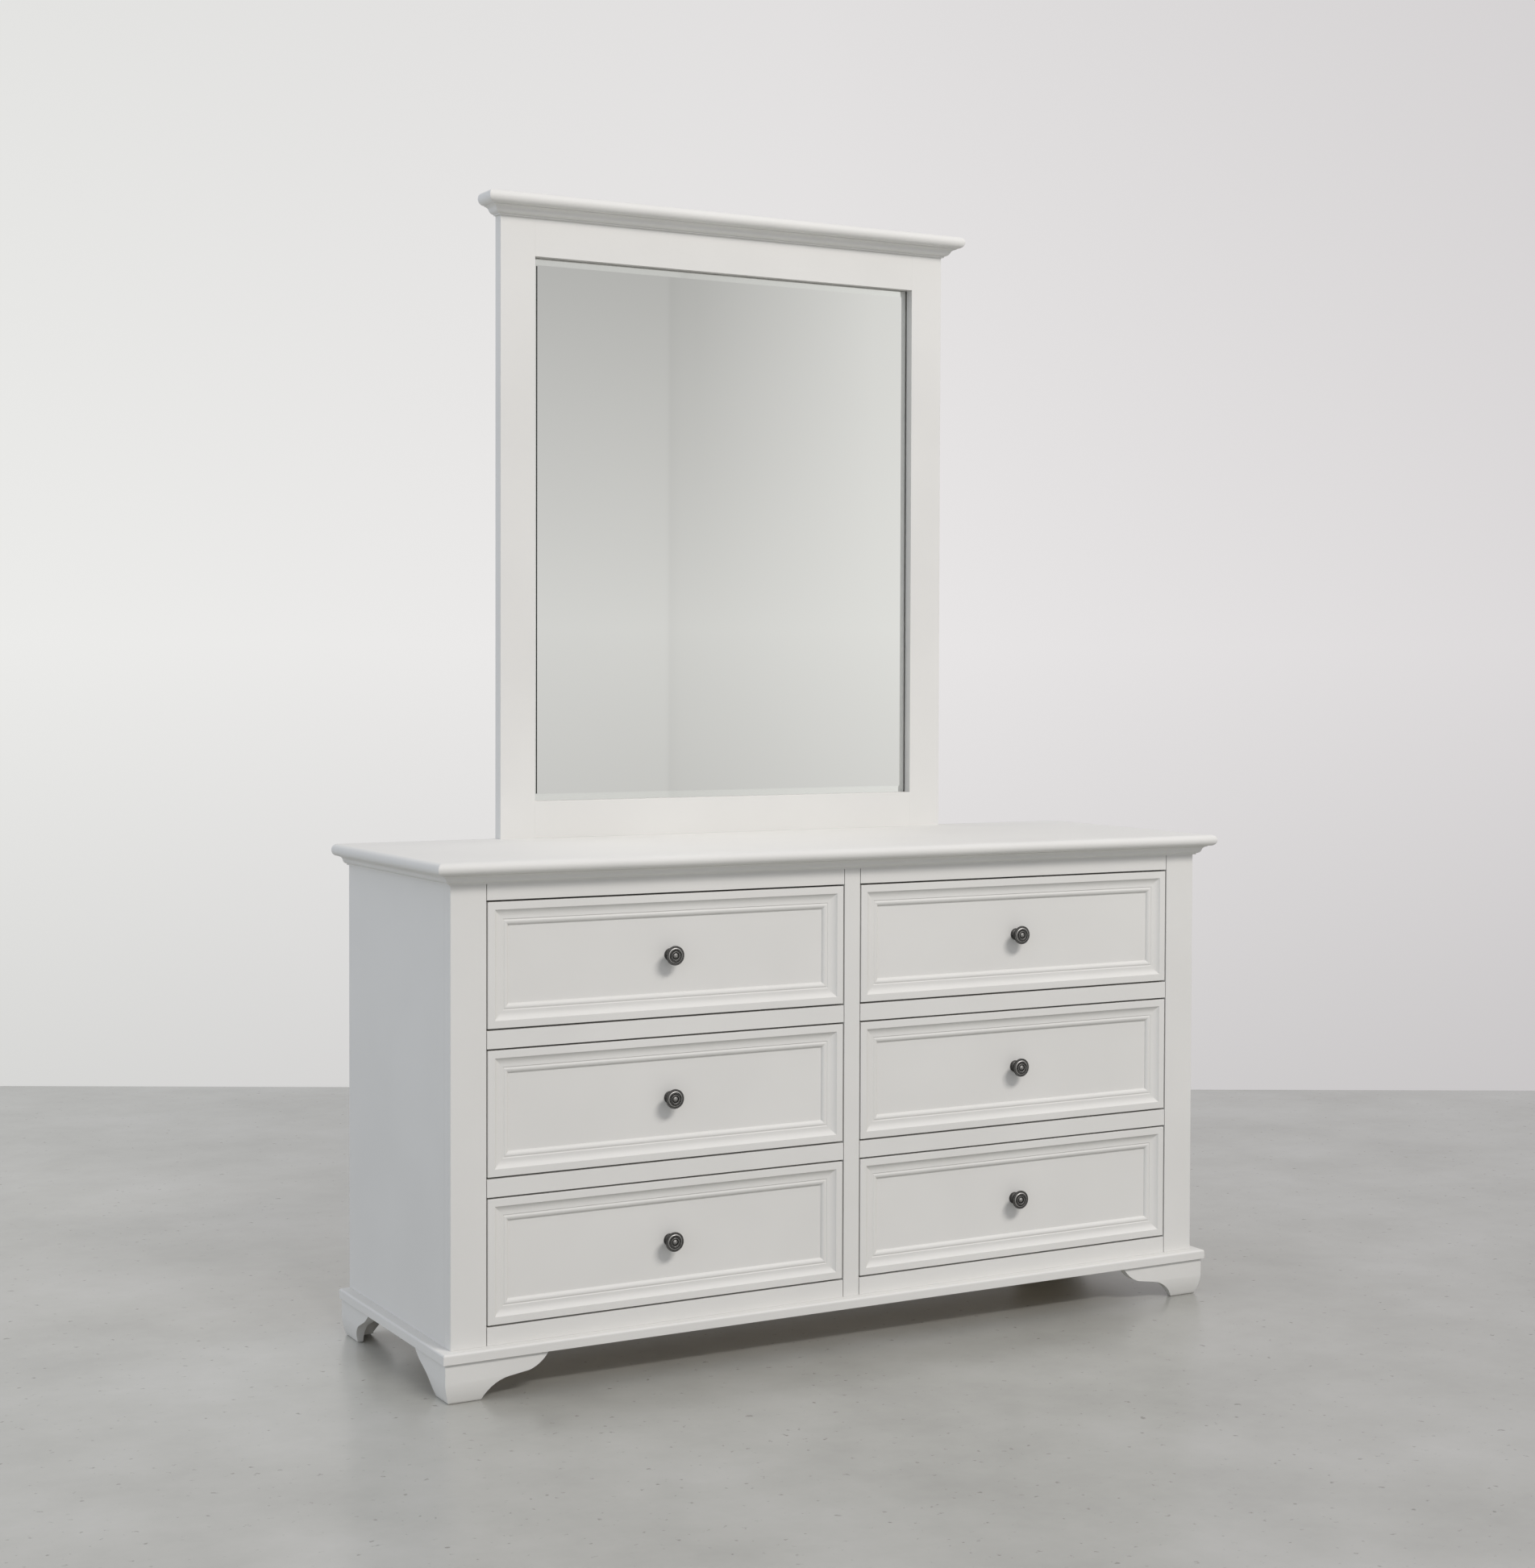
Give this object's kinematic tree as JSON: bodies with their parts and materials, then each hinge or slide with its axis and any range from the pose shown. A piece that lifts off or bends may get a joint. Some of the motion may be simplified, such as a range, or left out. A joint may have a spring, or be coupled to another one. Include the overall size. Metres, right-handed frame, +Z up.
{
  "type": "dresser with mirror",
  "caption": "Painted dresser on bracket feet with two bays of sliding drawers, and a framed bevelled mirror with a cornice that stands upright on its top.",
  "frame": {"origin": "on the floor, in the middle of the overall width and depth", "axes": "+X to the right of someone facing the drawers, +Y towards the back, +Z up"},
  "size_m": [1.5648, 0.5274, 2.0358],
  "materials": {
    "white_paint": "satin off-white paint on wood",
    "bare_wood": "planed and lacquered",
    "board": "sanded plywood",
    "zinc_steel": "zinc plated",
    "pewter": "antique pewter, worn brighter on its rings",
    "silvered_glass": "polished, with a bevelled edge"
  },
  "bodies": {
    "case": {"left_side_panel": "white_paint", "right_side_panel": "white_paint", "left_front_post": "white_paint", "right_front_post": "white_paint", "centre_stile": "white_paint", "left_front_rails": "white_paint", "right_front_rails": "white_paint", "centre_partition": "bare_wood", "bottom_panel": "board", "back_panel": "board", "rear_rails": "bare_wood", "top_board": "white_paint", "top_moulding": "white_paint", "base_moulding": "white_paint", "front_left_foot": "white_paint", "front_right_foot": "white_paint", "rear_left_foot": "white_paint", "rear_right_foot": "white_paint", "slide_cleats": "bare_wood", "case_slides": "zinc_steel", "mirror_left_stile": "white_paint", "mirror_right_stile": "white_paint", "mirror_bottom_rail": "white_paint", "mirror_top_rail": "white_paint", "mirror_cornice": "white_paint", "cornice_moulding": "white_paint", "mirror_glass": "silvered_glass", "mirror_backing": "board", "mirror_supports": "white_paint", "support_screws": "zinc_steel"},
    "lower_left_drawer": {"lower_left_drawer_front": "white_paint", "lower_left_drawer_box": "bare_wood", "lower_left_drawer_bottom": "board", "lower_left_drawer_knob": "pewter", "lower_left_drawer_runners": "zinc_steel"},
    "lower_right_drawer": {"lower_right_drawer_front": "white_paint", "lower_right_drawer_box": "bare_wood", "lower_right_drawer_bottom": "board", "lower_right_drawer_knob": "pewter", "lower_right_drawer_runners": "zinc_steel"},
    "middle_left_drawer": {"middle_left_drawer_front": "white_paint", "middle_left_drawer_box": "bare_wood", "middle_left_drawer_bottom": "board", "middle_left_drawer_knob": "pewter", "middle_left_drawer_runners": "zinc_steel"},
    "middle_right_drawer": {"middle_right_drawer_front": "white_paint", "middle_right_drawer_box": "bare_wood", "middle_right_drawer_bottom": "board", "middle_right_drawer_knob": "pewter", "middle_right_drawer_runners": "zinc_steel"},
    "upper_left_drawer": {"upper_left_drawer_front": "white_paint", "upper_left_drawer_box": "bare_wood", "upper_left_drawer_bottom": "board", "upper_left_drawer_knob": "pewter", "upper_left_drawer_runners": "zinc_steel"},
    "upper_right_drawer": {"upper_right_drawer_front": "white_paint", "upper_right_drawer_box": "bare_wood", "upper_right_drawer_bottom": "board", "upper_right_drawer_knob": "pewter", "upper_right_drawer_runners": "zinc_steel"}
  },
  "joints": [
    {"name": "lower_left_drawer_slide", "type": "slide", "parent": "case", "child": "lower_left_drawer", "axis": [0, -1, 0], "range_m": [0, 0.3]},
    {"name": "lower_right_drawer_slide", "type": "slide", "parent": "case", "child": "lower_right_drawer", "axis": [0, -1, 0], "range_m": [0, 0.3]},
    {"name": "middle_left_drawer_slide", "type": "slide", "parent": "case", "child": "middle_left_drawer", "axis": [0, -1, 0], "range_m": [0, 0.3]},
    {"name": "middle_right_drawer_slide", "type": "slide", "parent": "case", "child": "middle_right_drawer", "axis": [0, -1, 0], "range_m": [0, 0.3]},
    {"name": "upper_left_drawer_slide", "type": "slide", "parent": "case", "child": "upper_left_drawer", "axis": [0, -1, 0], "range_m": [0, 0.3]},
    {"name": "upper_right_drawer_slide", "type": "slide", "parent": "case", "child": "upper_right_drawer", "axis": [0, -1, 0], "range_m": [0, 0.3]}
  ]
}
